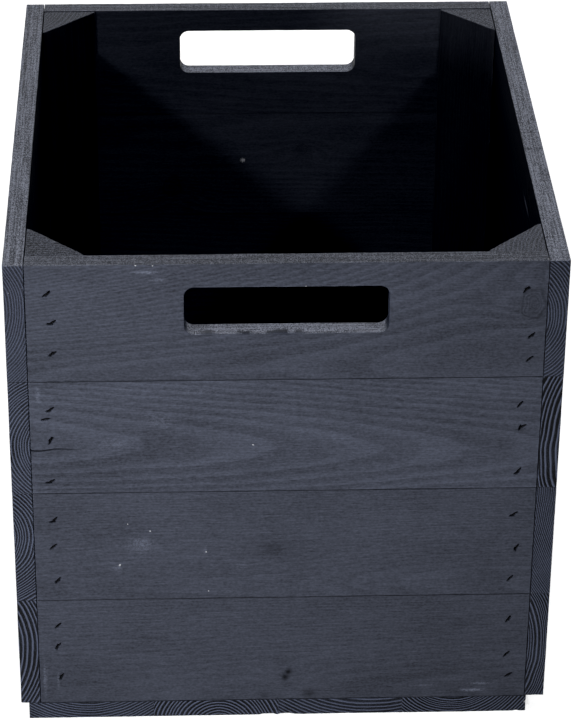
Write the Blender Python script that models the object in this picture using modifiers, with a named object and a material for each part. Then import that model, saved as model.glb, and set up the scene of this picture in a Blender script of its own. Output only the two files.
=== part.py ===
"""Open wooden apple crate, stapled together from sawn boards.

Each of the four walls is a stack of boards. The front and back walls stand between the
side walls, and every board's end is stapled to a three-sided corner post. The floor
boards run from front to back underneath the walls. The top boards of the front and back
walls each have a hand hole.

Metres, +Z up. The origin is at the middle of the crate, on the surface it stands on,
and the front faces -Y.
"""

from math import cos, pi, radians, sin

import bmesh
import bpy
from mathutils import Matrix

# Overall size
WIDTH = 0.330
DEPTH = 0.375
HEIGHT = 0.325

# Boards
WALL = 0.0123  # thickness of a wall board
FLOOR = 0.012  # thickness of a floor board
ROWS = 4  # boards in each wall
FLOOR_BOARDS = 4
FLOOR_INSET_LEFT = 0.0053  # outer face of the left wall to the first floor board
FLOOR_INSET_RIGHT = 0.0113  # last floor board to the outer face of the right wall
EASED = 0.0006  # width of the eased edges
GAP = 0.0003  # clearance between pieces that touch

# Corner posts
POST_LEG = 0.0345  # width of each face that lies against a wall
POST_BLUNT = 0.0012  # flat on the two thin edges

# Hand holes
HOLE_WIDTH = 0.120
HOLE_HEIGHT = 0.031
HOLE_DROP = 0.0155  # rim of the crate to the top edge of the hole
HOLE_RADIUS = 0.006

# Staples
CROWN = 0.0055  # width over both legs
WIRE = 0.0012
BITE = 0.012  # how far the legs reach into a post
SUNK = 0.0005  # face of the board to the crown
STAPLE_EDGE = 0.019  # edge of a wall board to its staple
STAPLE_INSET = 0.0125  # corner of a post to its wall staples
FLOOR_STAPLE_INSET = 0.0065  # corner of a post to its floor staple, along both walls
STAPLE_TILT = radians(40)

# Worked out from the sizes above
LINING = WALL + GAP  # outer face of a wall to what lies against its inner face
ROW_PITCH = (HEIGHT - FLOOR) / ROWS
BOARD_HEIGHT = ROW_PITCH - GAP
FLOOR_SPAN = WIDTH - FLOOR_INSET_LEFT - FLOOR_INSET_RIGHT
FLOOR_BOARD_WIDTH = (FLOOR_SPAN - (FLOOR_BOARDS - 1) * GAP) / FLOOR_BOARDS

# Walls anticlockwise from the front, each starting at the post of the same number:
# name, outside length, distance of the outer face from the middle, length of its boards
WALLS = (
    ("front", WIDTH, DEPTH / 2, WIDTH - 2 * LINING),
    ("right", DEPTH, WIDTH / 2, DEPTH),
    ("back", WIDTH, DEPTH / 2, WIDTH - 2 * LINING),
    ("left", DEPTH, WIDTH / 2, DEPTH),
)
POSTS = (
    ("front_left", -1, -1),
    ("front_right", 1, -1),
    ("back_right", 1, 1),
    ("back_left", -1, 1),
)

# Colour, roughness and metallic value of each kind of piece
WALL_STAIN = ((0.050, 0.054, 0.064), 0.55, 0.0)
FLOOR_STAIN = ((0.060, 0.063, 0.072), 0.60, 0.0)
POST_STAIN = ((0.065, 0.069, 0.079), 0.60, 0.0)
DARK_STEEL = ((0.030, 0.031, 0.034), 0.45, 0.9)


def clear_scene():
    for obj in list(bpy.data.objects):
        bpy.data.objects.remove(obj, do_unlink=True)


def new_collection(name):
    collection = bpy.data.collections.new(name)
    bpy.context.scene.collection.children.link(collection)
    return collection


def principled(name, look):
    """A material of the piece's own, from its colour, roughness and metallic value."""
    colour, roughness, metallic = look
    material = bpy.data.materials.new(name)
    material.use_nodes = True
    shader = material.node_tree.nodes["Principled BSDF"]
    shader.inputs["Base Color"].default_value = (*colour, 1.0)
    shader.inputs["Roughness"].default_value = roughness
    shader.inputs["Metallic"].default_value = metallic
    return material


def add_piece(name, mesh, matrix, look):
    piece = bpy.data.objects.new(name, mesh)
    piece.matrix_world = matrix
    piece.data.materials.append(principled(name, look))
    crate.objects.link(piece)
    return piece


def add_cutter(name, mesh, matrix):
    cutter = bpy.data.objects.new(name, mesh)
    cutter.matrix_world = matrix
    cutter.hide_render = True
    cutter.display_type = "WIRE"
    cutters.objects.link(cutter)
    return cutter


def cut(piece, cutter):
    boolean = piece.modifiers.new(cutter.name, "BOOLEAN")
    boolean.operation = "DIFFERENCE"
    boolean.object = cutter


def ease_edges(piece):
    bevel = piece.modifiers.new("eased edges", "BEVEL")
    bevel.width = EASED
    bevel.segments = 2
    bevel.limit_method = "ANGLE"


def box_mesh(name, size):
    shape = bmesh.new()
    bmesh.ops.create_cube(shape, size=1)
    bmesh.ops.scale(shape, vec=size, verts=shape.verts)
    mesh = bpy.data.meshes.new(name)
    shape.to_mesh(mesh)
    shape.free()
    return mesh


def plate_mesh(name, outline, thickness):
    """A flat outline in X and Y, as a closed mesh that is centred on Z = 0."""
    curve = bpy.data.curves.new(name, "CURVE")
    curve.dimensions = "2D"
    curve.fill_mode = "BOTH"
    curve.extrude = thickness / 2
    spline = curve.splines.new("POLY")
    spline.points.add(len(outline) - 1)
    for point, (x, y) in zip(spline.points, outline):
        point.co = (x, y, 0, 1)
    spline.use_cyclic_u = True

    guide = bpy.data.objects.new(name + "_outline", curve)
    bpy.context.scene.collection.objects.link(guide)
    graph = bpy.context.evaluated_depsgraph_get()
    mesh = bpy.data.meshes.new_from_object(guide.evaluated_get(graph))
    bpy.data.objects.remove(guide, do_unlink=True)

    shape = bmesh.new()
    shape.from_mesh(mesh)
    bmesh.ops.remove_doubles(shape, verts=shape.verts, dist=1e-6)
    bmesh.ops.recalc_face_normals(shape, faces=shape.faces)
    shape.to_mesh(mesh)
    shape.free()
    return mesh


def rounded_rectangle(width, height, radius, steps=6):
    """An outline with round corners, anticlockwise from the lower right."""
    outline = []
    corners = ((1, -1, -90), (1, 1, 0), (-1, 1, 90), (-1, -1, 180))
    for side, end, start in corners:
        x = side * (width / 2 - radius)
        y = end * (height / 2 - radius)
        for step in range(steps + 1):
            angle = radians(start + 90 * step / steps)
            outline.append((x + radius * cos(angle), y + radius * sin(angle)))
    return outline


def post_outline():
    """A right-angled triangle with its right angle at the origin and blunt thin edges."""
    return [
        (0, 0),
        (POST_LEG, 0),
        (POST_LEG, POST_BLUNT),
        (POST_BLUNT, POST_LEG),
        (0, POST_LEG),
    ]


def staple_outline(length, clearance=0.0, rise=0.0):
    """A staple from the front: the crown lies along X, and chisel-pointed legs run down -Y.

    A slot for the staple has a clearance all round, and rises to the board's face.
    """
    outer = CROWN / 2 + clearance
    inner = CROWN / 2 - WIRE - clearance
    under = -WIRE - clearance
    tip = -length - clearance
    heel = tip + WIRE
    return [
        (-outer, rise),
        (outer, rise),
        (outer, heel),
        (inner, tip),
        (inner, under),
        (-inner, under),
        (-inner, tip),
        (-outer, heel),
    ]


def add_staple(name, length, matrix, pieces):
    """A sunk staple, with the slot that it sits in cut through every piece it holds."""
    mesh = plate_mesh(name, staple_outline(length), WIRE)
    add_piece(name, mesh, matrix, DARK_STEEL)
    outline = staple_outline(length, clearance=GAP, rise=2 * SUNK)
    slot = add_cutter(name + "_slot", plate_mesh(name + "_slot", outline, WIRE + 2 * GAP), matrix)
    for piece in pieces:
        cut(piece, slot)


def wall_frame(number):
    """Along X to the right as seen from outside, along Y into the crate, from the outer face."""
    distance = WALLS[number][2]
    return Matrix.Rotation(number * pi / 2, 4, "Z") @ Matrix.Translation((0, -distance, 0))


def row_bottom(row):
    return FLOOR + row * ROW_PITCH + GAP


def add_wall_boards(number):
    """The boards of one wall, from the floor up."""
    name, _, _, length = WALLS[number]
    boards = []
    for row in range(ROWS):
        board_name = f"{name}_board_{row + 1}"
        middle = Matrix.Translation((0, WALL / 2, row_bottom(row) + BOARD_HEIGHT / 2))
        mesh = box_mesh(board_name, (length, WALL, BOARD_HEIGHT))
        boards.append(add_piece(board_name, mesh, wall_frame(number) @ middle, WALL_STAIN))
    return boards


def add_floor_boards():
    """Boards from front to back under the walls, from left to right."""
    boards = []
    left = -WIDTH / 2 + FLOOR_INSET_LEFT + FLOOR_BOARD_WIDTH / 2
    for count in range(FLOOR_BOARDS):
        name = f"floor_board_{count + 1}"
        place = Matrix.Translation((left + count * (FLOOR_BOARD_WIDTH + GAP), 0, FLOOR / 2))
        mesh = box_mesh(name, (FLOOR_BOARD_WIDTH, DEPTH, FLOOR))
        boards.append(add_piece(name, mesh, place, FLOOR_STAIN))
    return boards


def add_post(number):
    """A corner post, with its right angle in the corner between two walls."""
    name, side, end = POSTS[number]
    height = HEIGHT - FLOOR - GAP
    x = side * (WIDTH / 2 - LINING)
    y = end * (DEPTH / 2 - LINING)
    place = Matrix.Translation((x, y, FLOOR + GAP + height / 2))
    turn = Matrix.Rotation(number * pi / 2, 4, "Z")
    mesh = plate_mesh(f"post_{name}", post_outline(), height)
    return add_piece(f"post_{name}", mesh, place @ turn, POST_STAIN)


def cut_hand_hole(wall, number):
    """The hand hole through the top board of a wall."""
    name = WALLS[number][0]
    outline = rounded_rectangle(HOLE_WIDTH, HOLE_HEIGHT, HOLE_RADIUS)
    mesh = plate_mesh(f"{name}_hand_hole", outline, 3 * WALL)
    upright = Matrix.Rotation(pi / 2, 4, "X")
    place = Matrix.Translation((0, WALL / 2, HEIGHT - HOLE_DROP - HOLE_HEIGHT / 2))
    hole = add_cutter(f"{name}_hand_hole", mesh, wall_frame(number) @ place @ upright)
    cut(wall[-1], hole)


def add_wall_staples(number, boards, posts):
    """One staple through each end of every board of a wall, into the post behind it.

    They sit near the upper edge in the front and back walls and near the lower edge in
    the side walls, so the two rows in a post pass each other.
    """
    name, outside, _, _ = WALLS[number]
    reach = outside / 2 - LINING - STAPLE_INSET
    length = LINING + BITE - SUNK
    lie = Matrix.Rotation(-STAPLE_TILT, 4, "Y") @ Matrix.Rotation(pi, 4, "X")
    for row, board in enumerate(boards):
        z = row_bottom(row) + STAPLE_EDGE
        if number % 2 == 0:
            z = row_bottom(row) + BOARD_HEIGHT - STAPLE_EDGE
        for end, x, post in (("l", -reach, number), ("r", reach, (number + 1) % 4)):
            place = wall_frame(number) @ Matrix.Translation((x, SUNK, z)) @ lie
            add_staple(f"staple_{name}_{row + 1}{end}", length, place, (board, posts[post]))


def add_floor_staples(boards, posts):
    """A staple up through each corner of the floor, into the post above it."""
    x = WIDTH / 2 - LINING - FLOOR_STAPLE_INSET
    y = DEPTH / 2 - LINING - FLOOR_STAPLE_INSET
    length = FLOOR + GAP + BITE - SUNK
    upward = Matrix.Rotation(-pi / 2, 4, "X")
    for (name, side, end), post in zip(POSTS, posts):
        board = boards[0] if side < 0 else boards[-1]
        place = Matrix.Translation((side * x, end * y, SUNK)) @ upward
        add_staple(f"staple_floor_{name}", length, place, (board, post))


def build_crate():
    walls = [add_wall_boards(number) for number in range(len(WALLS))]
    floor = add_floor_boards()
    posts = [add_post(number) for number in range(len(POSTS))]
    for number in (0, 2):
        cut_hand_hole(walls[number], number)
    for piece in (*sum(walls, []), *floor, *posts):
        ease_edges(piece)
    for number, boards in enumerate(walls):
        add_wall_staples(number, boards, posts)
    add_floor_staples(floor, posts)


clear_scene()
crate = new_collection("apple_crate")
cutters = new_collection("cutters")
build_crate()
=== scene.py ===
"""Looks of the wooden apple crate.

Every board and post is built again inside its CAD box, as a dense mesh with the figure of
one piece of sawn softwood: growth rings round a pith, knots, cracks, saw marks, worn edges
and the pits of its staples. The rings are stored on the mesh as well, where the material of
the dark stain reads them. Lengths in this script are in millimetres, up to the last step of
making a mesh.
"""

import itertools
import math
from dataclasses import dataclass

import bpy
import numpy as np
from mathutils import Matrix, Vector


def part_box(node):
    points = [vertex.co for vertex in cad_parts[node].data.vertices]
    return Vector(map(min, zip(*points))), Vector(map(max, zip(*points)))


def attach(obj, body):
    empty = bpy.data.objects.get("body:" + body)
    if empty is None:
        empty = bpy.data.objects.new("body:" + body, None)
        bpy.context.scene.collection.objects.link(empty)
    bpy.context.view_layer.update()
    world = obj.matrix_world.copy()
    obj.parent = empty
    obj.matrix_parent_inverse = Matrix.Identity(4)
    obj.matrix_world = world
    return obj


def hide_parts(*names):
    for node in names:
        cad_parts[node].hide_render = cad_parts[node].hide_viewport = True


MM = 0.001

# Camera, from a fit to the crate's corners, with its turns in degrees
CAMERA_PLACE = (-63.3, -1709.7, 1152.6)
CAMERA_DOWN = 30.356
CAMERA_RIGHT = 2.382
CAMERA_ROLL = 0.566
CAMERA_LENS = 149.741
CAMERA_SENSOR = 36.0

BLACK_POINT = 0.0025  # as in a studio picture whose shadows were deepened

# Layout of the crate
WALLS = ("front", "right", "back", "left")
ROWS = 4
TOP_ROW = ROWS
FLOOR_BOARDS = 4
BOARD_WIDTH = 78.0
FACE = 6.15  # outer face of a wall board, from the middle of its thickness
FLOOR_FACE = 6.0  # the same for a floor board
END = 187.5  # end of a side or floor board, from the middle of its length
POSTS = ("front_left", "front_right", "back_right", "back_left")
HOLE_WIDTH = 120.0
HOLE_HEIGHT = 31.0
HOLE_DROP = 15.5
HOLE_RADIUS = 6.0
HOLE_FLOOR = -7.4  # bottom of a hand hole, from the middle of its board
FLOOR_AXES = np.array([[0.0, 1.0, 0.0], [1.0, 0.0, 0.0], [0.0, 0.0, -1.0]])

# Staples
CROWN = 5.5
WIRE = 1.2
SUNK = 0.5
BEND = 0.7  # radius of the wire's bends
WALL_LEG = 24.1
FLOOR_LEG = 23.8
STAPLE_TILT = 40.0
FRONT_REACH = 140.2  # middle of a front or back board to the staples at its ends
SIDE_REACH = 162.4  # the same for a side board
FLOOR_REACH = END - 6.3  # the same for a floor board's staples in the front and back walls
PIT_DEPTH = 1.15
PIT_WIDTH = 0.58  # half the width of the pit that the crown was driven into
PIT_REACH = CROWN / 2 - WIRE / 2 + 0.25  # half its length

# Wood
BLUNT = 1.2  # width of the cut tips of a post
SWELL = 0.22  # how far a board reaches into the gaps that the CAD keeps round it
FLOOR_SWELL = 0.40  # the same between floor boards, so that no light comes up between them
EDGE = 0.35  # usual radius of a worn edge
WEAR_REACH = 2.4  # how far wear shows from an edge
CHART_GAP = 1.6  # on the UV map
RIMS = {"front": 0.78, "right": 1.9, "back": 1.0, "left": 1.6}  # paleness of the top edges: sawn wood and painted sheen
HOLE_RIM = 2.2  # pale bottom of a hand hole: painted highlight
POST_RIM = 0.6  # pale upper ends of the posts: sawn wood and painted sheen

# Mesh steps
ALONG = 2.8
ACROSS = 0.8
POST_ALONG = 2.6
POST_ACROSS = 0.75
SEEN_END = 0.55  # through the thickness, for a board whose ends show
HIDDEN_END = 1.6
FINE = 0.3  # at edges
STAPLE_FINE = 0.36
HOLE_FINE = 0.8  # at the corners of a hand hole
KNOT_FINE = (0.7, 0.6)  # lengthwise and crosswise, as for cracks
CRACK_FINE = (0.8, 0.25)

# How the rings wander: how far, over patches of this length and width
WANDER = ((1.7, 95.0, 45.0), (0.45, 30.0, 11.0), (0.10, 9.0, 2.5))

# Depth of the relief
SOFT_DEPTH = 0.035  # of the early wood on the faces
END_SOFT_DEPTH = 0.17  # and on the ends
WARP = 0.09
FIBRES = 0.018
SAWN_END = 0.05
CRACK_DEPTH = 0.9


@dataclass
class Wood:
    """The figure of one piece, in its own lengthwise, crosswise and outward millimetres."""

    pith: tuple = (0.0, -60.0)  # crosswise and outward
    drift: tuple = (0.0, 0.03)  # of the pith, over the length
    ring: float = 2.1  # width of a growth ring
    lean: tuple = (0.0, 0.0)  # slope of the grain at the low and at the high edge
    knots: tuple = ()  # (lengthwise, crosswise, radius, darkness)
    cracks: tuple = ()  # (from, to, crosswise)
    chips: tuple = ()  # (lengthwise, crosswise, outward, reach, depth)
    smudges: tuple = ()  # (lengthwise, crosswise, half length, half width, darkness)
    scuffs: tuple = ()  # (lengthwise, crosswise, outward, half length, half width, paleness)
    tone: float = 1.0
    figure: float = 0.5  # how much the rings show on the faces
    ends: float = 0.8  # how much they show on the ends
    inside: float = 0.5  # how much painted shade darkens the side that faces into the crate
    specks: tuple = ()  # (lengthwise, crosswise, outward, radius), bare wood
    seed: int = 0

    def shift(self):
        """Moves the noise of each piece to a place of its own."""
        return np.array([37.0, 61.0, 83.0]) * self.seed


# ---- numbers and noise


def smooth(low, high, value):
    """0 below low, 1 above high, and an S curve in between."""
    share = np.clip((value - low) / (high - low), 0.0, 1.0)
    return share * share * (3.0 - 2.0 * share)


def lattice_value(cell, seed):
    """A number from 0 to 1 for each cell of whole numbers, the same on every run."""
    mixed = cell[:, 0] * 374761393 + cell[:, 1] * 668265263 + cell[:, 2] * 2246822519
    mixed = (mixed + seed * 3266489917) & 0xFFFFFFFF
    mixed = ((mixed ^ (mixed >> 13)) * 1274126177) & 0xFFFFFFFF
    return (mixed ^ (mixed >> 16)) / 0xFFFFFFFF


def noise(points, size, seed):
    """Smooth noise from -1 to 1. size is that of its patches, along each axis or all of them."""
    scaled = points / np.array(size, float)
    cell = np.floor(scaled).astype(np.int64)
    share = scaled - cell
    share = share * share * (3.0 - 2.0 * share)
    total = np.zeros(len(points))
    for corner in itertools.product((0, 1), repeat=3):
        weight = np.prod(np.where(corner, share, 1.0 - share), axis=1)
        total += weight * lattice_value(cell + corner, seed)
    return 2.0 * total - 1.0


def graded(low, high, step, spots=(), exact=()):
    """Places from low to high, a step apart and closer in spots of (middle, reach, step)."""
    tick = 0.05
    fine = np.arange(low, high + 0.4 * tick, tick)
    density = np.full(len(fine), 1.0 / step)
    for middle, reach, spot_step in spots:
        near = 1.0 - smooth(reach, reach + 8.0 * spot_step + 1.0, np.abs(fine - middle))
        density = np.maximum(density, near / spot_step)
    count = np.concatenate([[0.0], np.cumsum((density[1:] + density[:-1]) / 2 * tick)])
    total = max(2, int(round(count[-1])))
    places = np.interp(np.linspace(0.0, count[-1], total + 1), count, fine)
    places[0], places[-1] = low, high
    for place in exact:
        places[np.argmin(np.abs(places - place))] = place
    return places


# ---- wood


def ring_count(wood, points):
    """How many growth rings lie between the pith and each point, and how near a knot it is."""
    along, across, out = points.T
    slope = wood.lean[0] + (wood.lean[1] - wood.lean[0]) * (across / BOARD_WIDTH + 0.5)
    side = across - wood.pith[0] - (wood.drift[0] + slope) * along
    rise = out - wood.pith[1] - wood.drift[1] * along
    radius = np.hypot(side, rise)
    for number, (reach, long, wide) in enumerate(WANDER, start=1):
        radius += reach * noise(points, (long, wide, wide), wood.seed + number)
    for place, height, size, _ in wood.knots:
        spread = ((along - place) / (3.4 * size)) ** 2 + ((across - height) / (1.7 * size)) ** 2
        radius += 1.3 * size * np.exp(-spread) * np.where(across > height, 1.0, 0.75)
    count = radius / wood.ring
    rings = np.stack([count, count * 0, count * 0], 1)
    count += 0.45 * noise(rings, (3.1, 1.0, 1.0), wood.seed + 4)

    knot = np.zeros(len(points))
    for number, (place, height, size, fill) in enumerate(wood.knots):
        branch = np.array([height - wood.pith[0], FACE - wood.pith[1]])
        branch /= np.linalg.norm(branch)
        aside = (across - wood.pith[0]) * branch[1] - (out - wood.pith[1]) * branch[0]
        away = np.hypot(along - place, aside)
        away += 0.32 * size * noise(points, 5.0, wood.seed + 40 + number)
        inside = 1.0 - smooth(0.92 * size, 1.08 * size, away)
        rings = away / max(0.9, 0.26 * size)
        count = count * (1.0 - inside) + inside * rings
        lines = 0.5 - 0.5 * np.cos(2.0 * math.pi * rings)
        heart = np.exp(-((away / (0.60 * size)) ** 2))
        rim = np.exp(-(((away - size) / (0.16 * size + 0.25)) ** 2))
        lines = (1.0 - fill) * (1.2 * inside * lines + 0.5 * rim)
        knot = np.maximum(knot, fill * np.maximum(lines, fill * inside * heart))
    return count, np.clip(knot, 0.0, 1.0)


def late_wood(count):
    """1 on the hard, late part of each ring, and 0 on its soft, early part."""
    phase = count % 1.0
    return smooth(0.30, 0.78, phase) * (1.0 - smooth(0.93, 1.0, phase))


def crack_depth(wood, points):
    """How deep the cracks are at each point. They run along the grain."""
    along, across, _ = points.T
    depth = np.zeros(len(points))
    for start, end, height in wood.cracks:
        reached = (along - start) / (end - start)
        share = np.clip(reached, 0.0, 1.0)
        line = height + 1.3 * share + 0.5 * np.sin(along * 0.31)
        width = 0.42 * (1.0 - 0.6 * share)
        open_here = (reached > -0.02) & (reached < 1.0)
        profile = np.exp(-(((across - line) / width) ** 2)) * open_here
        depth = np.maximum(depth, CRACK_DEPTH * (1.0 - share) ** 0.5 * profile)
    return depth


def edge_radius(wood, points):
    """The worn radius of an edge near each point, larger in its chips."""
    radius = EDGE + 0.22 * noise(points, 14.0, wood.seed + 11)
    radius += 0.16 * noise(points, 2.6, wood.seed + 12)
    ragged = noise(points, 5.0, wood.seed + 13)
    radius += 0.55 * smooth(0.45, 0.95, ragged)
    for *place, reach, depth in wood.chips:
        away = np.linalg.norm(points - np.array(place), axis=1)
        away = away + 0.35 * reach * noise(points, 1.8, wood.seed + 14)
        radius += depth * (1.0 - smooth(0.2 * reach, reach, away))
    return np.maximum(radius, 0.15)


def pit_field(points, pits):
    """How deep each point lies in a pit: 1 along its middle line, and 0 outside it."""
    deepest = np.zeros(len(points))
    for along, across, tilt, reach in pits:
        step = np.array([math.cos(tilt), math.sin(tilt)]) * reach
        offset = points[:, :2] - np.array([along, across])
        share = np.clip(offset @ step / (step @ step), -1.0, 1.0)
        away = np.linalg.norm(offset - share[:, None] * step, axis=1)
        away = away / (1.0 - 0.45 * share**2)
        deepest = np.maximum(deepest, 1.0 - smooth(PIT_WIDTH * 0.7, PIT_WIDTH * 1.7, away))
    return deepest


def torn_pits(staples, seed):
    """The pits of the staples, most with a short tear across one end."""
    draw = np.random.default_rng(seed)
    pits = []
    for along, across, tilt in staples:
        pits.append((along, across, tilt, PIT_REACH))
        if draw.random() < 0.6:
            end = draw.choice((-0.7, -0.3, 0.4)) * PIT_REACH
            turn = tilt + math.radians(draw.choice((-1, 1)) * draw.uniform(22, 48))
            reach = draw.uniform(1.1, 2.0)
            away = (end * math.cos(tilt), end * math.sin(tilt))
            pits.append((along + away[0], across + away[1], turn, reach))
    return pits


# ---- surfaces


@dataclass
class Surface:
    """A closed mesh before it is shaped: points, faces of three or four, and each face's chart."""

    points: np.ndarray
    quads: np.ndarray
    quad_charts: np.ndarray
    triangles: np.ndarray
    triangle_charts: np.ndarray


def numbered(kept):
    """An index for each kept place of a lattice, and -1 elsewhere."""
    index = np.full(kept.shape, -1, np.int64)
    index[kept] = np.arange(kept.sum())
    return index


def patch(index, flip):
    """The quads of one sheet of a lattice, as an array of four corners each."""
    corners = (index[:-1, :-1], index[1:, :-1], index[1:, 1:], index[:-1, 1:])
    quads = np.stack([c.ravel() for c in corners], 1)
    return quads[:, ::-1] if flip else quads


def skin(points, sheets, halves):
    """The surface made by sheets of lattice indices. Each comes with whether it is turned over.

    A face that lacks one corner is kept as a triangle if there are halves.
    """
    quads, charts, triangles, triangle_charts = [], [], [], []
    for chart, (sheet, flip) in enumerate(sheets):
        found = patch(sheet, flip)
        corners = (found >= 0).sum(1)
        quads.append(found[corners == 4])
        charts.append(np.full(len(quads[-1]), chart))
        thirds = found[(corners == 3) & halves]
        triangles.append(thirds[thirds >= 0].reshape(-1, 3))
        triangle_charts.append(np.full(len(thirds), chart))
    parts = (quads, charts, triangles, triangle_charts)
    return Surface(points, *(np.concatenate(part) for part in parts))


def box_surface(lines, hole=None):
    """The skin of a box on three sets of lines, with a hole through it from face to face.

    hole holds its lowest and highest place lengthwise and crosswise, which lie on lines.
    """
    grid = np.stack(np.meshgrid(*lines, indexing="ij"), -1)
    kept = np.ones(grid.shape[:3], bool)
    kept[1:-1, 1:-1, 1:-1] = False
    if hole:
        (a0, a1), (c0, c1) = (
            [int(np.argmin(np.abs(line - edge))) for edge in edges]
            for line, edges in zip(lines, hole)
        )
        kept[a0 : a1 + 1, c0 : c1 + 1] = True
        kept[a0 + 1 : a1, c0 + 1 : c1] = False
    index = numbered(kept)
    sheets = [
        (index[:, :, -1], False),
        (index[:, :, 0], True),
        (index[:, -1, :], True),
        (index[:, 0, :], False),
        (index[-1, :, :], False),
        (index[0, :, :], True),
    ]
    if hole:
        sheets += [
            (index[a0 : a1 + 1, c0, :], True),
            (index[a0 : a1 + 1, c1, :], False),
            (index[a0, c0 : c1 + 1, :], False),
            (index[a1, c0 : c1 + 1, :], True),
        ]
    return skin(grid[kept], sheets, halves=False)


def prism_surface(legs, heights):
    """The skin of a right-angled triangular prism, on the same lines along both legs."""
    count = len(legs) - 1
    height, first, second = np.meshgrid(
        heights, np.arange(count + 1), np.arange(count + 1), indexing="ij"
    )
    grid = np.stack([height, legs[first], legs[second]], -1)
    level = np.broadcast_to(np.arange(len(heights))[:, None, None], first.shape)
    outer = (level == 0) | (level == len(heights) - 1) | (first == 0) | (second == 0)
    kept = (first + second < count) & outer | (first + second == count)
    index = numbered(kept)
    step = np.arange(count + 1)
    sheets = [
        (index[:, :, 0], True),
        (index[:, 0, :], False),
        (index[:, step, count - step], False),
        (index[-1], False),
        (index[0], True),
    ]
    return skin(grid[kept], sheets, halves=True)


def hole_sides(hole):
    """The middle of a round-cornered hole, and how far its straight sides reach from there."""
    low, high = np.array(hole).T
    return (low + high) / 2, (high - low) / 2 - HOLE_RADIUS


def round_hole_corners(points, hole):
    """Bends the lines round a square hole so that its corners become arcs."""
    points = points.copy()
    middle, half = hole_sides(hole)
    offset = points[:, :2] - middle
    beyond = np.abs(offset) - half
    corner = (beyond > 0).all(1)
    square = beyond[corner].max(1)
    plain = np.linalg.norm(beyond[corner], axis=1)
    share = 1.0 - np.clip((square - HOLE_RADIUS) / (2 * HOLE_RADIUS), 0.0, 1.0)
    scale = 1.0 + (square / plain - 1.0) * share
    bent = half + beyond[corner] * scale[:, None]
    points[corner, :2] = middle + np.sign(offset[corner]) * bent
    return points


def box_families(points, size):
    """For each face of a box: how far each point is from it, and the way inwards."""
    families = []
    for axis in range(3):
        inward = np.zeros(3)
        inward[axis] = 1.0
        families.append((points[:, axis] + size[axis] / 2, inward))
        families.append((size[axis] / 2 - points[:, axis], -inward))
    return families


def hole_family(points, hole):
    """The same for the wall of a round-cornered hole."""
    middle, half = hole_sides(hole)
    offset = points[:, :2] - middle
    beyond = np.abs(offset) - half
    outside = np.maximum(beyond, 0.0)
    reach = np.linalg.norm(outside, axis=1)
    away = np.sign(offset) * outside / np.maximum(reach, 1e-9)[:, None]
    inward = np.concatenate([away, np.zeros((len(points), 1))], 1)
    return np.abs(reach - HOLE_RADIUS), inward


def prism_families(points, leg, height):
    """The same for a post: its two outer sides, its slanted side and its ends."""
    up, first, second = points.T
    slanted = (leg - first - second) / math.sqrt(2)
    return [
        (first, np.array([0.0, 1.0, 0.0])),
        (second, np.array([0.0, 0.0, 1.0])),
        (slanted, np.array([0.0, -1.0, -1.0]) / math.sqrt(2)),
        (up + height / 2, np.array([1.0, 0.0, 0.0])),
        (height / 2 - up, np.array([-1.0, 0.0, 0.0])),
    ]


def rounded(points, families, radius):
    """The points with every edge rounded, the way out at each, and how near an edge it is."""
    push = np.zeros_like(points)
    squares = np.zeros(len(points))
    for room, inward in families:
        into = np.maximum(radius - room, 0.0)
        push += into[:, None] * inward
        squares += into**2
    length = np.sqrt(squares)
    share = np.maximum(length - radius, 0.0) / length
    normals = -push / np.linalg.norm(push, axis=1)[:, None]
    return points + push * share[:, None], normals, share


# ---- pieces of wood


def outer_pits(points, normals, pits):
    """The pits, kept to the outer face."""
    return smooth(0.6, 0.95, normals[:, 2]) * pit_field(points, pits)


def relief(wood, points, normals, count, pits):
    """How far the surface lies below its flat place, in millimetres."""
    ends = normals[:, 0] ** 2
    soft = 1.0 - late_wood(count)
    depth = soft * (SOFT_DEPTH + END_SOFT_DEPTH * ends * wood.ends)
    depth += WARP * (1.0 + noise(points, (60.0, 22.0, 22.0), wood.seed + 21))
    depth += FIBRES * (1.0 + noise(points, (7.0, 0.9, 0.9), wood.seed + 22))
    depth += ends * SAWN_END * (1.0 + noise(points, 1.5, wood.seed + 23))
    depth += crack_depth(wood, points)
    return depth + PIT_DEPTH * outer_pits(points, normals, pits)


def chart_places(points, surface, size, rows):
    """Places on the UV map for each face corner, from the charts that rows describes."""
    corners = [surface.quads.ravel(), surface.triangles.ravel()]
    charts = [np.repeat(surface.quad_charts, 4), np.repeat(surface.triangle_charts, 3)]
    at = points[np.concatenate(corners)]
    chart = np.concatenate(charts)
    places = np.zeros((len(at), 2))
    for number, (first, second, x, y) in enumerate(rows):
        mine = chart == number
        places[mine, 0] = at[mine] @ np.array(first) + x
        places[mine, 1] = at[mine] @ np.array(second) + y
    return (places + CHART_GAP) / (size + 2 * CHART_GAP)


def box_charts(size, hole):
    """Charts of a box: both faces, both edges, both ends and the four walls of its hole."""
    length, width, thick = size
    rows = []
    y = width / 2
    for _ in range(2):
        rows.append(((1, 0, 0), (0, 1, 0), length / 2, y))
        y += width + CHART_GAP
    y += (thick - width) / 2
    for _ in range(2):
        rows.append(((1, 0, 0), (0, 0, 1), length / 2, y))
        y += thick + CHART_GAP
    for number in range(2):
        x = width / 2 + number * (width + CHART_GAP)
        rows.append(((0, 1, 0), (0, 0, 1), x, y))
    y += thick + CHART_GAP
    if hole:
        (left, right), (low, high) = hole
        x = -left
        for _ in range(2):
            rows.append(((1, 0, 0), (0, 0, 1), x, y))
            x += right - left + CHART_GAP
        x += left - low
        for _ in range(2):
            rows.append(((0, 1, 0), (0, 0, 1), x, y))
            x += high - low + CHART_GAP
    return rows


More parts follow.
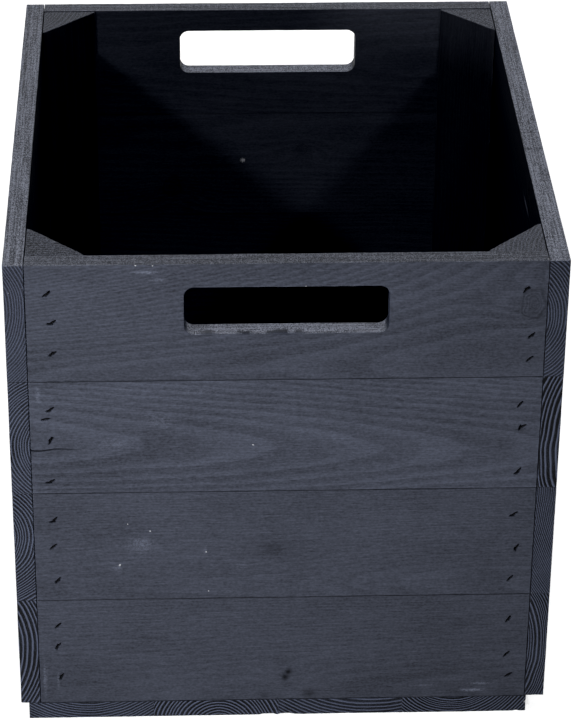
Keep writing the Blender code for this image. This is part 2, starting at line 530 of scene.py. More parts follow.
def prism_charts(leg, height):
    """Charts of a post: its two outer sides, its slanted side and its two ends."""
    half = math.sqrt(0.5)
    pitch = leg + CHART_GAP
    y = 2 * pitch + 2 * leg * half + CHART_GAP
    return [
        ((1, 0, 0), (0, 1, 0), height / 2, 0.0),
        ((1, 0, 0), (0, 0, 1), height / 2, pitch),
        ((1, 0, 0), (0, half, -half), height / 2, 2 * pitch + leg * half),
        ((0, 1, 0), (0, 0, 1), 0.0, y),
        ((0, 1, 0), (0, 0, 1), pitch, y),
    ]


def build_mesh(name, surface, world, uv):
    """A Blender mesh in metres, shaded smooth, with its UV map."""
    mesh = bpy.data.meshes.new(name)
    loops = np.concatenate([surface.quads.ravel(), surface.triangles.ravel()])
    totals = np.repeat((4, 3), (len(surface.quads), len(surface.triangles)))
    starts = np.concatenate([[0], np.cumsum(totals)[:-1]])
    mesh.vertices.add(len(world))
    mesh.vertices.foreach_set("co", (world * MM).astype(np.float32).ravel())
    mesh.loops.add(len(loops))
    mesh.loops.foreach_set("vertex_index", loops.astype(np.int32))
    mesh.polygons.add(len(totals))
    mesh.polygons.foreach_set("loop_start", starts.astype(np.int32))
    mesh.polygons.foreach_set("use_smooth", np.ones(len(totals), bool))
    mesh.update(calc_edges=True)
    layer = mesh.uv_layers.new(name="OFBake")
    layer.uv.foreach_set("vector", uv.astype(np.float32).ravel())
    mesh.validate()
    return mesh


@dataclass
class Body:
    """The shape of a piece before its figure is put on, and where it lies in the crate."""

    surface: Surface
    points: np.ndarray
    families: list
    axes: np.ndarray
    middle: np.ndarray
    uv: np.ndarray
    rim: float | np.ndarray  # how pale each point is if it faces up: sawn wood and painted sheen
    seam: np.ndarray  # distance to the next board
    pits: tuple = ()


def darkness(wood, body, normals, knot):
    """How dark each point is: knots and smudges, and painted shade in cracks, staple pits and the
    seams between boards.
    """
    points = body.points
    # painted shade in cracks and staple pits, deeper where they are deeper
    crack = np.clip(crack_depth(wood, points) * 1.6, 0.0, 1.0)
    pit = outer_pits(points, normals, body.pits)
    # painted shade in the seams between boards
    seam = 0.6 * (1.0 - smooth(0.15, 0.75, body.seam)) * (1.0 - normals[:, 0] ** 2)
    dark = np.maximum.reduce([knot, crack, pit, seam])
    for along, across, half_length, half_width, amount in wood.smudges:
        away = ((points[:, 0] - along) / half_length) ** 2
        away += ((points[:, 1] - across) / half_width) ** 2
        dark = np.maximum(dark, amount * np.exp(-away))
    return dark


def scuff_field(wood, points):
    """How pale each point is from scuffs."""
    scuff = np.zeros(len(points))
    for *place, half_length, half_width, amount in wood.scuffs:
        away = (points - np.array(place)) / (half_length, half_width, 2.0)
        scuff += amount * np.exp(-(away**2).sum(1))
    return scuff


def add_wood(node, wood, body):
    """The piece of wood that stands for a CAD node."""
    points = body.points
    radius = edge_radius(wood, points)
    shaped, normals, _ = rounded(points, body.families, radius)
    _, _, edge = rounded(points, body.families, np.full(len(points), WEAR_REACH))
    count, knot = ring_count(wood, shaped)
    depth = relief(wood, shaped, normals, count, body.pits)
    shaped = shaped - normals * depth[:, None]
    mesh = build_mesh(f"{node}_wood", body.surface, body.middle + shaped @ body.axes, body.uv)

    upwards = smooth(0.5, 0.9, normals @ body.axes[:, 2])
    # real wear near edges, plus painted sheen on surfaces that face up
    wear_and_sheen = edge * 2.2 + 0.5 * body.rim * upwards
    wear_and_sheen *= 0.65 + 0.5 * noise(points, (12.0, 5.0, 5.0), wood.seed + 31)
    layers = {
        "rings": count,
        "dark": darkness(wood, body, normals, knot),
        "wear_and_sheen": np.clip(wear_and_sheen, 0.0, 1.0),
        "scuff": scuff_field(wood, points),
        "ends": normals[:, 0] ** 2,
        # paler sawn wood and painted sheen on surfaces that face up, less where an edge is chipped
        "rim": upwards * body.rim * (1.0 - smooth(1.0, 1.8, radius)),
        # painted shade: the faces turned into the crate are darkened in the material
        "inside": smooth(0.3, 0.8, -normals[:, 2]),
    }
    for name, values in layers.items():
        layer = mesh.attributes.new(name, "FLOAT", "POINT")
        layer.data.foreach_set("value", values.astype(np.float32))
    grain = mesh.attributes.new("grain", "FLOAT_VECTOR", "POINT")
    grain.data.foreach_set("vector", (points + wood.shift()).astype(np.float32).ravel())

    mesh.materials.append(stained_wood(f"{node}_stain", wood))
    piece = add_object(f"{node}_wood", mesh)
    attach(piece, "root")
    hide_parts(node)


def add_object(name, data):
    added = bpy.data.objects.new(name, data)
    bpy.context.scene.collection.objects.link(added)
    return added


def node_box(node):
    """The middle and the size of a CAD node, in millimetres."""
    low, high = (np.array(corner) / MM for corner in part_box(node))
    return (low + high) / 2, high - low


def wall_axes(number):
    """Lengthwise, crosswise and outward directions of a wall's boards, seen from outside."""
    turn = number * math.pi / 2
    x, y = math.cos(turn), math.sin(turn)
    return np.array([[x, y, 0.0], [0.0, 0.0, 1.0], [y, -x, 0.0]])


def board_lines(wood, size, staples, hole, seen_ends):
    """The mesh lines of a board along its three axes, closer where it has detail."""
    length, width, thick = size
    along = [(side * length / 2, 1.2, FINE) for side in (-1, 1)]
    along += [(place, 3.4, STAPLE_FINE) for place, _, _ in staples]
    across = [(side * width / 2, 1.2, FINE) for side in (-1, 1)]
    across += [(place, 2.8, STAPLE_FINE) for _, place, _ in staples]
    through = [(side * thick / 2, 0.9, FINE) for side in (-1, 1)]
    for place, height, radius, _ in wood.knots:
        along.append((place, radius, KNOT_FINE[0]))
        across.append((height, radius, KNOT_FINE[1]))
    for start, _, height in wood.cracks:
        along.append((start, 6.0, CRACK_FINE[0]))
        across.append((height + 0.7, 1.6, CRACK_FINE[1]))
    exact_along, exact_across = hole or ((), ())
    along += [(place, 1.0, FINE) for place in exact_along]
    along += [(place, HOLE_RADIUS, HOLE_FINE) for place in exact_along]
    across += [(place, 1.0, FINE) for place in exact_across]
    return (
        graded(-length / 2, length / 2, ALONG, along, exact_along),
        graded(-width / 2, width / 2, ACROSS, across, exact_across),
        graded(-thick / 2, thick / 2, SEEN_END if seen_ends else HIDDEN_END, through),
    )


def add_board(node, slot, wood, axes, staples, hole=None, rim=0.0, seen_ends=False, swell=SWELL):
    """A board of sawn wood, in the box of its CAD node."""
    middle, world_size = node_box(node)
    size = np.abs(axes @ world_size) + (0.0 if seen_ends else 2 * swell, 2 * swell, 0.0)
    length, width, _ = size
    surface = box_surface(board_lines(wood, size, staples, hole, seen_ends), hole)
    uv = chart_places(surface.points, surface, length, box_charts(size, hole))
    points = surface.points
    if hole:
        points = round_hole_corners(points, hole)
    families = box_families(points, size)
    if hole:
        families.append(hole_family(points, hole))
    seam = points[:, 1] + width / 2
    if not rim:
        seam = np.minimum(seam, width / 2 - points[:, 1])
    # painted highlight on the bottom of a hand hole; sawn paleness and painted sheen on a top edge
    below_rim = points[:, 1] < width / 2 - 2.0
    rim = np.where(below_rim, HOLE_RIM if hole else 0.0, rim)
    pits = torn_pits(staples, wood.seed)
    body = Body(surface, points, families, axes, middle, uv, rim, seam, pits)
    add_wood(node, wood, body)


def add_post(node, wood, number):
    """A corner post, in the place of its CAD node."""
    middle, size = node_box(node)
    height, leg = size[2], size[0]
    reach = leg + BLUNT
    turn = number * math.pi / 2
    x, y = math.cos(turn), math.sin(turn)
    first, second = np.array([x, y, 0.0]), np.array([-y, x, 0.0])
    axes = np.array([[0.0, 0.0, 1.0], first, second])
    corner = middle - (first + second) * leg / 2
    legs = graded(0.0, reach, POST_ACROSS, [(place, 0.9, FINE) for place in (0.0, reach)])
    legs = (legs + reach - legs[::-1]) / 2
    spots = [(side * height / 2, 1.2, FINE) for side in (-1, 1)]
    surface = prism_surface(legs, graded(-height / 2, height / 2, POST_ALONG, spots))
    points = surface.points.copy()
    families = prism_families(points, reach, height)
    uv = chart_places(points, surface, height, prism_charts(reach, height))
    points[:, 1:] -= 0.5 * np.maximum(points[:, 1:] - (leg - BLUNT), 0.0)
    no_seam = np.full(len(points), leg)
    body = Body(surface, points, families, axes, corner, uv, POST_RIM, no_seam)
    add_wood(node, wood, body)


# ---- materials


class Nodes:
    """A material's node tree, with short ways to add to it."""

    def __init__(self, name):
        self.material = bpy.data.materials.new(name)
        self.material.use_nodes = True
        self.tree = self.material.node_tree
        self.shader = self.tree.nodes["Principled BSDF"]

    def add(self, kind, inputs=(), **settings):
        node = self.tree.nodes.new(kind)
        for key, value in settings.items():
            setattr(node, key, value)
        self.set(node, inputs)
        return node

    def set(self, node, inputs):
        """Gives inputs of a node a number, a colour or the output of another node."""
        for key, value in dict(inputs).items():
            if isinstance(value, bpy.types.NodeSocket):
                self.tree.links.new(value, node.inputs[key])
            else:
                node.inputs[key].default_value = value

    def shade(self, **inputs):
        """Sets inputs of the shader, with _ for each space in their names."""
        self.set(self.shader, {key.replace("_", " "): value for key, value in inputs.items()})

    def attribute(self, name, output="Fac"):
        node = self.add("ShaderNodeAttribute", attribute_name=name)
        return node.outputs[output]

    def math(self, operation, first, second=0.0, third=0.0, clamp=False):
        inputs = {0: first, 1: second, 2: third}
        node = self.add("ShaderNodeMath", inputs, operation=operation, use_clamp=clamp)
        return node.outputs[0]

    def times(self, first, second):
        return self.math("MULTIPLY", first, second)

    def plus(self, first, second):
        return self.math("ADD", first, second)

    def smooth(self, value, low, high, start=0.0, end=1.0):
        inputs = {"Value": value, "From Min": low, "From Max": high, "To Min": start, "To Max": end}
        node = self.add("ShaderNodeMapRange", inputs, interpolation_type="SMOOTHSTEP")
        return node.outputs["Result"]

    def mix(self, share, first, second):
        """A colour between two colours."""
        inputs = {0: share, 6: first, 7: second}
        node = self.add("ShaderNodeMix", inputs, data_type="RGBA", clamp_factor=True)
        return node.outputs[2]

    def noise(self, places, stretch, detail, roughness=0.55):
        """Noise around 0, stretched along the grain; its places are in millimetres."""
        inputs = {0: places, 1: stretch}
        scaled = self.add("ShaderNodeVectorMath", inputs, operation="MULTIPLY")
        inputs = {"Vector": scaled.outputs[0], "Scale": 1.0}
        inputs |= {"Detail": detail, "Roughness": roughness}
        node = self.add("ShaderNodeTexNoise", inputs)
        return self.math("SUBTRACT", node.outputs["Fac"], 0.5)


def grey(value, tint=1.30):
    """A bluish grey. The tint is how much blue there is to one part of red."""
    return (value, value * (1.0 + 0.22 * (tint - 1.0)), value * tint, 1.0)


END_SOFT = grey(0.0008, 2.0)
END_LATE = grey(0.064, 1.8)
# pale worn wood, also used for painted sheen on tops
WORN_AND_SHEEN = grey(0.11, 1.4)
# pale sawn wood of the top edges, with painted sheen
SAWN_RIM_AND_SHEEN = grey(0.33, 1.35)
# near black painted shade for the faces inside the crate
PAINTED_INSIDE_SHADE = grey(0.002, 2.6)
SCUFFED = grey(0.13, 1.5)
DARKEST = grey(0.0006, 1.3)
BARE_WOOD = grey(0.42, 1.1)


def ring_profile(nodes, phase, start, full):
    """The pale, late part of each growth ring."""
    rise = nodes.smooth(phase, start, full)
    return nodes.times(rise, nodes.smooth(phase, 0.92, 1.0, 1.0, 0.0))


def stained_wood(name, wood):
    """Black-blue stain on one piece of sawn softwood."""
    nodes = Nodes(name)
    grain = nodes.attribute("grain", "Vector")
    dark = nodes.attribute("dark")
    ends = nodes.attribute("ends")
    rim = nodes.attribute("rim")
    fibres = nodes.noise(grain, (0.022, 1.15, 1.15), 5.0, 0.62)
    pores = nodes.noise(grain, (0.16, 1.3, 1.3), 3.0)
    mottle = nodes.noise(grain, (0.62, 0.95, 0.95), 2.0)
    clouds = nodes.noise(grain, (0.011, 0.028, 0.028), 3.0)
    speckle = nodes.noise(grain, (1.5, 1.5, 1.5), 3.0)

    phase = nodes.math("FRACT", nodes.attribute("rings"))
    late = ring_profile(nodes, phase, 0.28, 0.80)
    figure = nodes.times(nodes.math("SUBTRACT", late, 0.4), 0.24 * wood.figure)
    for part, amount in ((fibres, 0.42), (pores, 0.62), (mottle, 0.78), (clouds, 0.45)):
        figure = nodes.plus(figure, nodes.times(part, amount))
    shade = nodes.math("ADD", figure, 0.46, clamp=True)
    colour = nodes.mix(shade, grey(0.0075 * wood.tone, 1.65), grey(0.060 * wood.tone, 1.58))

    end_shade = nodes.times(ring_profile(nodes, phase, 0.46, 0.80), 0.95 * wood.ends)
    patchy = nodes.plus(nodes.times(speckle, 0.8), nodes.times(clouds, 0.5))
    end_shade = nodes.plus(end_shade, nodes.plus(patchy, 0.45 * (1.0 - wood.ends)))
    end_colour = nodes.mix(end_shade, END_SOFT, END_LATE)
    colour = nodes.mix(ends, colour, end_colour)

    # worn edges paler, with painted sheen on surfaces that face up
    worn = nodes.plus(nodes.attribute("wear_and_sheen"), nodes.times(speckle, 0.9))
    worn = nodes.math("MULTIPLY", nodes.smooth(worn, 0.30, 1.0), 0.5)
    colour = nodes.mix(worn, colour, WORN_AND_SHEEN)
    # paler tops with saw marks: sawn wood and painted sheen
    rough_rim_and_sheen = nodes.smooth(nodes.plus(speckle, nodes.times(fibres, 0.6)), -0.10, 0.20)
    chatter = nodes.add("ShaderNodeTexWave", {"Vector": grain, "Scale": 0.07, "Distortion": 4.0})
    marks = nodes.plus(nodes.times(chatter.outputs["Fac"], 0.25), 0.75)
    rough_rim_and_sheen = nodes.times(nodes.times(rough_rim_and_sheen, rim), marks)
    rough_rim_and_sheen = nodes.math("MULTIPLY", rough_rim_and_sheen, 0.85, clamp=True)
    colour = nodes.mix(rough_rim_and_sheen, colour, SAWN_RIM_AND_SHEEN)
    # painted shade: faces turned into the crate are mixed towards near black
    inside = nodes.times(nodes.attribute("inside"), wood.inside)
    colour = nodes.mix(inside, colour, PAINTED_INSIDE_SHADE)
    scuffed = nodes.plus(nodes.plus(speckle, nodes.times(mottle, 0.7)), 0.5)
    scuffed = nodes.smooth(nodes.times(nodes.attribute("scuff"), scuffed), 0.06, 0.60, 0.0, 0.7)
    colour = nodes.mix(scuffed, colour, SCUFFED)
    # knots and smudges, and painted shade in cracks, pits and seams, towards near black
    colour = nodes.mix(nodes.times(dark, 0.97), colour, DARKEST)
    for *place, radius in wood.specks:
        inputs = {0: grain, 1: tuple(np.array(place) + wood.shift())}
        away = nodes.add("ShaderNodeVectorMath", inputs, operation="DISTANCE").outputs["Value"]
        away = nodes.plus(away, nodes.times(speckle, 3.0 * radius))
        share = nodes.smooth(away, 0.4 * radius, 1.1 * radius, 0.8, 0.0)
        colour = nodes.mix(share, colour, BARE_WOOD)

    roughness = nodes.plus(0.50, nodes.times(fibres, 0.30))
    roughness = nodes.plus(roughness, nodes.times(late, -0.07))
    roughness = nodes.plus(roughness, nodes.times(dark, 0.4))
    nodes.shade(Base_Color=colour, Roughness=roughness, Specular_IOR_Level=0.07)

    height = nodes.plus(nodes.times(fibres, 0.9), nodes.times(pores, 0.7))
    height = nodes.plus(height, nodes.times(late, 0.25))
    height = nodes.plus(height, nodes.times(nodes.times(speckle, ends), 1.4))
    saw = nodes.times(nodes.times(chatter.outputs["Fac"], rim), 0.5)
    height = nodes.plus(height, saw)
    bump = nodes.add("ShaderNodeBump", {"Height": height, "Strength": 0.6, "Distance": 0.00018})
    nodes.shade(Normal=bump.outputs["Normal"])
    return nodes.material


def stained_steel():
    """Staple wire, dulled by the stain that it was painted over with."""
    nodes = Nodes("stained_steel")
    places = nodes.add("ShaderNodeTexCoord").outputs["Object"]
    patches = nodes.noise(places, (900.0, 900.0, 900.0), 3.0)
    colour = nodes.mix(nodes.plus(0.35, patches), grey(0.0005), grey(0.006))
    roughness = nodes.plus(0.5, nodes.times(patches, 0.4))
    nodes.shade(Base_Color=colour, Roughness=roughness, Metallic=0.6, Specular_IOR_Level=0.1)
    return nodes.material


def plain_floor():
    """The white top of a lit photo table."""
    nodes = Nodes("pale_floor")
    nodes.shade(Base_Color=(0.92, 0.92, 0.92, 1.0), Roughness=0.8, Specular_IOR_Level=0.1)
    nodes.shade(Emission_Color=(1.0, 1.0, 1.0, 1.0), Emission_Strength=0.74)
    return nodes.material


# ---- staples


def staple_mesh(leg):
    """A staple with round bends: its crown lies along X at the top, and its legs run down -Z."""
    half = CROWN / 2 - WIRE / 2
    path = [(-half, -leg)]
    for start, x in ((180, -half + BEND), (90, half - BEND)):
        for step in range(5):
            angle = math.radians(start - 90 * step / 4)
            path.append((x + BEND * math.cos(angle), BEND * math.sin(angle) - WIRE / 2 - BEND))
    path.append((half, -leg))
    curve = bpy.data.curves.new("staple_path", "CURVE")
    curve.dimensions = "3D"
    curve.bevel_depth = WIRE / 2
    curve.bevel_resolution = 3
    curve.use_fill_caps = True
    spline = curve.splines.new("POLY")
    spline.points.add(len(path) - 1)
    for point, (x, z) in zip(spline.points, path):
        point.co = (x, 0.0, z, 1.0)
    guide = add_object("staple_path", curve)
    graph = bpy.context.evaluated_depsgraph_get()
    mesh = bpy.data.meshes.new_from_object(guide.evaluated_get(graph))
    bpy.data.objects.remove(guide, do_unlink=True)
    return mesh


def staple_place(axes, middle, size, along, across, tilt):
    """The matrix, in metres, that puts a staple into the outer face of a board."""
    crown = math.cos(tilt) * axes[0] + math.sin(tilt) * axes[1]
    side = np.cross(axes[2], crown)
    place = middle + along * axes[0] + across * axes[1] + (size / 2 - SUNK) * axes[2]
    matrix = Matrix.Identity(4)
    for column, values in enumerate((crown, side, axes[2], place)):
        for row in range(3):
            matrix[row][column] = values[row] * MM
    return matrix


def add_staples(name, shape, places, steel, nodes=()):
    """One piece of one or more staples."""
    points, faces = [], []
    base = [vertex.co.copy() for vertex in shape.vertices]
    for matrix in places:
        start = len(points)
        points += [matrix @ point for point in base]
        faces += [[start + index for index in face.vertices] for face in shape.polygons]
    mesh = bpy.data.meshes.new(name)
    mesh.from_pydata(points, [], faces)
    mesh.shade_smooth()
    mesh.materials.append(steel)
    piece = add_object(name, mesh)
    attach(piece, "root")
    if nodes:
        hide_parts(*nodes)


# ---- the crate


# Figure of the pieces that the photograph shows well; the others are drawn from a seed
FIGURES = {
    "front_board_4": Wood(
        pith=(-30, -34), lean=(0.03, 0.30), ring=3, figure=0.6,
        knots=((145, 9, 8, 0.50),),
        scuffs=((-82, 34, FACE, 9, 1.2, 0.8), (-75, 29, FACE, 7, 1.5, 0.6)),
        specks=(
            (-88, 38.6, FACE - 0.2, 0.5), (-78, 38.3, FACE - 0.1, 0.4),
            (11, 23.6, FACE - 0.1, 0.5), (133, 39.3, 2.5, 0.6), (152.3, 39.2, 4, 0.8),
        ),
        chips=(
            (-46, HOLE_FLOOR, FACE, 11, 1.7), (-25, HOLE_FLOOR, FACE, 6.5, 2.2),
            (-4, HOLE_FLOOR, FACE, 10, 2.2), (7, HOLE_FLOOR, FACE, 7.5, 1.6),
            (40, HOLE_FLOOR, FACE, 4, 0.5),
        ),
        seed=1,
    ),
    "front_board_3": Wood(
        pith=(-8, -40), drift=(-0.04, -0.045), ring=2.6, figure=0.70, tone=1.10,
        cracks=((-152, -118, -8.6),),
        scuffs=(
            (-75, 11.7, FACE, 12, 7, 0.4), (-102, -4.4, FACE, 14, 5, 0.4),
            (-54, 32, FACE, 16, 3.5, 0.35), (-147, 30, FACE, 2, 9, 0.5),
        ),
        specks=((-19.6, -6.1, FACE, 0.6),),
        seed=2,
    ),
    "front_board_2": Wood(
        pith=(-30, -30), ring=1.6, figure=0.3, tone=0.97,
        smudges=((-7, -3, 9, 5, 0.35),),
        scuffs=(
            (-88, 1.5, FACE, 12, 8, 0.5), (-102, -16, FACE, 4, 3, 0.5),
            (-49, -3, FACE, 2, 5, 0.5), (-27, -16, FACE, 5, 5, 0.35),
        ),
        specks=(
            (-95.7, 16.2, FACE, 0.45), (-82, 11, FACE, 0.5), (-101, -13.6, FACE, 0.8),
            (-48, -4.7, FACE, 0.45), (-46.6, -33.7, FACE, 0.4),
        ),
        seed=3,
    ),
    "front_board_1": Wood(
        pith=(-35, -40), ring=2, figure=0.3, tone=0.96,
        knots=((3, -18, 4.2, 1),),
        smudges=(
            (1, -22, 2.2, 3, 0.9), (16, -35, 4, 3.5, 0.6),
            (-13, -36, 1.5, 2.5, 0.5), (109, 17, 8, 3, 0.25),
        ),
        scuffs=(
            (124, -29, FACE, 8, 1, 0.8), (119, -34, FACE, 9, 1.4, 0.9),
            (88, -30, FACE, 9, 1, 0.5), (-149, -20, FACE, 1.6, 18, 0.6),
            (-141, -22, FACE, 1.2, 9, 0.45),
        ),
        seed=4,
    ),
    "right_board_4": Wood(
        pith=(1, -26), ring=1.8, ends=0.7,
        knots=((-75, 37, 6, 0.8),),
        smudges=((-41, 39, 1, 2, 0.4),),
        scuffs=((-65, 12, -FACE, 14, 1, 1.2), (-60, -22, -FACE, 22, 0.8, 0.9)),
        seed=5,
    ),
    "right_board_3": Wood(pith=(-7, 94), ring=2.7, ends=1, seed=6),
    "right_board_2": Wood(pith=(51, 141), ring=1.2, ends=0.7, seed=7),
    "right_board_1": Wood(pith=(1, -64), ring=1.7, ends=0.9, seed=8),
    "left_board_4": Wood(
        pith=(10, 40), ring=1.6, ends=0.55,
        specks=((END - 0.5, 34, 2, 0.5), (END - 0.5, 24, -4.5, 0.6), (END - 0.3, 21, 3, 0.4)),
        seed=9,
    ),
    "left_board_3": Wood(pith=(-7, -37), ring=1.8, ends=0.8, seed=10),
    "left_board_2": Wood(pith=(7.6, 24), ring=1.9, ends=0.9, seed=11),
    "left_board_1": Wood(pith=(4, 62), ring=2.6, ends=0.9, seed=12),
    "floor_board_1": Wood(pith=(0, -56), ring=2, seed=13),
    "floor_board_2": Wood(
        pith=(2, 21), ring=2.2, ends=1,
        chips=((-END, 33, FLOOR_FACE, 6, 1.6),),
        seed=14,
    ),
    "floor_board_3": Wood(
        pith=(20, -75), ring=2.4, chips=((-END, -34, FLOOR_FACE, 8, 1.8),), seed=15
    ),
    "floor_board_4": Wood(
        pith=(-7, -26), ring=1.9, ends=1,
        chips=((-END, 39.5, -0.5, 2.6, 1.3), (-END, 33, FLOOR_FACE, 2, 1.2)),
        specks=((0.2 - END, 38.9, -1, 0.9),),
        seed=16,
    ),
}

# Staples beyond those of the CAD model in each board of the front wall, from the bottom up:
# lengthwise and crosswise place and tilt
FRONT_EXTRAS = (
    ((-140.5, 4.4, 52), (-139, -19.1, 60), (140, -6.6, 48), (142, -22.6, 34)),
    ((-141, 0.6, 40), (-139, -24.4, 55), (142.5, -4.4, 62), (139.5, -27.4, 50)),
    (
        (-143, 13.4, 12), (-140.5, -1.6, 70), (-141, -30.6, 30), (142, 4.4, 28),
        (141, -27.1, 55),
    ),
    ((-137, 1.1, 35), (-137.5, -19.9, 30), (144.5, -10.9, 45), (144, -26.9, 42)),
)
BACK_SPECK = (17.0, 3.0, -FACE, 1.6)  # inside the crate, on the board below the back hand hole


def guessed_wood(seed):
    """The figure of a piece that isn't seen well."""
    draw = np.random.default_rng(seed)
    return Wood(
        pith=(draw.uniform(-30, 30), draw.uniform(-80, -28)),
        drift=(draw.uniform(-0.03, 0.03), draw.uniform(-0.03, 0.03)),
        ring=draw.uniform(1.5, 2.6),
        knots=tuple(
            (draw.uniform(-120, 120), draw.uniform(-28, 28), draw.uniform(3.0, 6.5), 0.45)
            for _ in range(draw.integers(0, 3))
        ),
        tone=draw.uniform(0.94, 1.08),
        seed=seed,
    )


def guessed_extras(number, row):
    """Extra staples of a board on another wall than the front."""
    draw = np.random.default_rng(100 * number + row)
    reach, upwards = (SIDE_REACH, 1) if number % 2 else (FRONT_REACH, -1)
    extras = []
    for side in (-1, 1):
        for step in (1, 2):
            along = side * reach + draw.uniform(-2, 2)
            across = upwards * (21.0 * step + draw.uniform(-3, 3)) - 20.0 * upwards
            extras.append((along, across, draw.uniform(25, 65)))
    return extras


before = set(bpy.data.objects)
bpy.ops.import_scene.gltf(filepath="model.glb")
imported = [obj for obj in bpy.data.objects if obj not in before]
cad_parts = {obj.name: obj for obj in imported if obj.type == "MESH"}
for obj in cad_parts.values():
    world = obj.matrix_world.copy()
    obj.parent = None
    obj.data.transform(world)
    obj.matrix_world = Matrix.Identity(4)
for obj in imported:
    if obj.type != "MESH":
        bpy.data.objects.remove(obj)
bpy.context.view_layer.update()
scene = bpy.context.scene

steel = stained_steel()
wall_staple = staple_mesh(WALL_LEG)
floor_staple = staple_mesh(FLOOR_LEG)
draw = np.random.default_rng(7)


def add_wall(number, wall):
    """The boards of a wall with their staples."""
    axes = wall_axes(number)
    extra_places = []
    for row in range(1, ROWS + 1):
        node = f"{wall}_board_{row}"
        wood = FIGURES.get(node) or guessed_wood(200 + 10 * number + row)
        if node == "back_board_3":
            wood.specks = (BACK_SPECK,)
        # deeper painted shade on the inner faces of the side walls
        if wall in ("left", "right"):
            wood.inside = 0.9
        middle, size = node_box(node)
        thick = np.abs(axes @ size)[2]
        staples = []
        for end in "lr":
            name = f"staple_{wall}_{row}{end}"
            tilt = STAPLE_TILT + draw.uniform(-8, 16)
            along, across, _ = axes @ (node_box(name)[0] - middle)
            staples.append((along, across, math.radians(tilt)))
            place = staple_place(axes, middle, thick, *staples[-1])
            add_staples(f"{name}_wire", wall_staple, [place], steel, [name])
        extras = FRONT_EXTRAS[row - 1] if wall == "front" else guessed_extras(number, row)
        for along, across, tilt in extras:
            staples.append((along, across, math.radians(tilt)))
            extra_places.append(staple_place(axes, middle, thick, *staples[-1]))
        hole = None
        if wall in ("front", "back") and row == TOP_ROW:
            top = size[2] / 2 - HOLE_DROP
            hole = ((-HOLE_WIDTH / 2, HOLE_WIDTH / 2), (top - HOLE_HEIGHT, top))
        rim = RIMS[wall] if row == TOP_ROW else 0.0
        add_board(node, "wall_wood", wood, axes, staples, hole, rim, wall in ("left", "right"))
    add_staples(f"extra_staples_{wall}", wall_staple, extra_places, steel)


def add_floor():
    """The floor boards, with the staples that hold them to the posts and to the walls."""
    extra_places = []
    for number in range(1, FLOOR_BOARDS + 1):
        node = f"floor_board_{number}"
        middle, size = node_box(node)
        staples = []
        for corner in POSTS:
            name = f"staple_floor_{corner}"
            along, across, _ = FLOOR_AXES @ (node_box(name)[0] - middle)
            if abs(across) > size[0] / 2:
                continue
            tilt = math.radians(STAPLE_TILT + draw.uniform(-10, 10))
            staples.append((along, across, tilt))
            place = staple_place(FLOOR_AXES, middle, size[2], *staples[-1])
            add_staples(f"{name}_wire", floor_staple, [place], steel, [name])
        for side in (-1, 1):
            for share in (-0.28, 0.24):
                across = share * size[0] + draw.uniform(-4, 4)
                along = side * (FLOOR_REACH + draw.uniform(-0.8, 0.8))
                staples.append((along, across, math.radians(draw.uniform(70, 110))))
                extra_places.append(staple_place(FLOOR_AXES, middle, size[2], *staples[-1]))
        look = {"seen_ends": True, "swell": FLOOR_SWELL}
        add_board(node, "floor_wood", FIGURES[node], FLOOR_AXES, staples, **look)
    add_staples("extra_staples_floor", floor_staple, extra_places, steel)


for wall_number, wall_name in enumerate(WALLS):
    add_wall(wall_number, wall_name)
add_floor()
for post_number, post_name in enumerate(POSTS):
    post_wood = guessed_wood(300 + post_number)
    post_wood.knots = ()
    post_wood.ends = 0.55
    # painted shade: a very dark tone for the faces of the posts, in the crate's corners
    post_wood.tone = 0.25
    add_post(f"post_{post_name}", post_wood, post_number)


# ---- studio


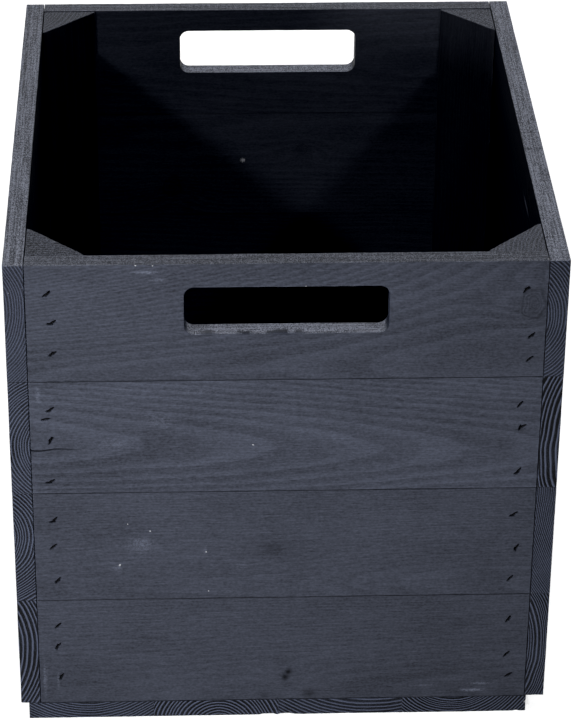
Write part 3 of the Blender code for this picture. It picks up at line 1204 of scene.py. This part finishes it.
def add_camera():
    down, right, roll = (math.radians(a) for a in (CAMERA_DOWN, CAMERA_RIGHT, CAMERA_ROLL))
    forward = Vector(
        (math.sin(right) * math.cos(down), math.cos(right) * math.cos(down), -math.sin(down))
    )
    across = Vector((math.cos(right), -math.sin(right), 0.0))
    up = across.cross(forward)
    turned = math.cos(roll) * across + math.sin(roll) * up
    upright = math.cos(roll) * up - math.sin(roll) * across
    data = bpy.data.cameras.new("camera")
    data.lens = CAMERA_LENS
    data.sensor_width = CAMERA_SENSOR
    data.clip_start = 0.05
    camera = add_object("camera", data)
    matrix = Matrix((turned, upright, -forward)).transposed().to_4x4()
    matrix.translation = Vector(CAMERA_PLACE) * MM
    camera.matrix_world = matrix
    scene.camera = camera


def add_light(name, kind, place, aim, power, **settings):
    """A light that shines from its place at its aim, in metres and watts."""
    data = bpy.data.lights.new(name, kind)
    data.energy = power
    for key, value in settings.items():
        setattr(data, key, value)
    light = add_object(name, data)
    light.location = place
    light.rotation_mode = "QUATERNION"
    light.rotation_quaternion = (Vector(aim) - Vector(place)).to_track_quat("-Z", "Y")


def add_lights():
    middle = (0.0, 0.0, 0.25)
    key = {"shape": "DISK", "size": 0.12}
    add_light("left_key", "AREA", (-1.10, -0.90, 1.15), middle, 9.5, **key)
    add_light("right_key", "AREA", (1.00, -0.90, 1.38), middle, 7.7, **key)
    fill = {"shape": "DISK", "size": 0.4}
    for name, side in (("left_fill", -1), ("right_fill", 1)):
        add_light(name, "AREA", (2.2 * side, 0.35, 0.24), (0.0, 0.0, 0.16), 6.0, **fill)
    panel = {"shape": "RECTANGLE", "size": 3.6, "size_y": 2.0}
    add_light("backdrop_panel", "AREA", (0.0, 2.2, 1.5), middle, 30.0, **panel)
    beam = {"spot_size": 0.45, "spot_blend": 1.0, "shadow_soft_size": 0.12}
    add_light("front_beam", "SPOT", (-0.60, -1.95, 0.14), (-0.15, -0.19, 0.22), 110.0, **beam)


def add_world():
    """Weak white light from all round, and deepened shadows."""
    world = bpy.data.worlds.new("studio")
    world.use_nodes = True
    background = world.node_tree.nodes["Background"]
    background.inputs["Color"].default_value = (1.0, 1.0, 1.0, 1.0)
    background.inputs["Strength"].default_value = 0.03
    scene.world = world
    scene.view_settings.view_transform = "Standard"
    scene.view_settings.use_curve_mapping = True
    scene.view_settings.curve_mapping.black_level = (BLACK_POINT, BLACK_POINT, BLACK_POINT)


def add_studio_floor():
    mesh = bpy.data.meshes.new("studio_floor")
    mesh.from_pydata([(-8, -8, 0), (8, -8, 0), (8, 8, 0), (-8, 8, 0)], [], [(0, 1, 2, 3)])
    mesh.materials.append(plain_floor())
    add_object("studio_floor", mesh)


add_camera()
add_lights()
add_world()
add_studio_floor()
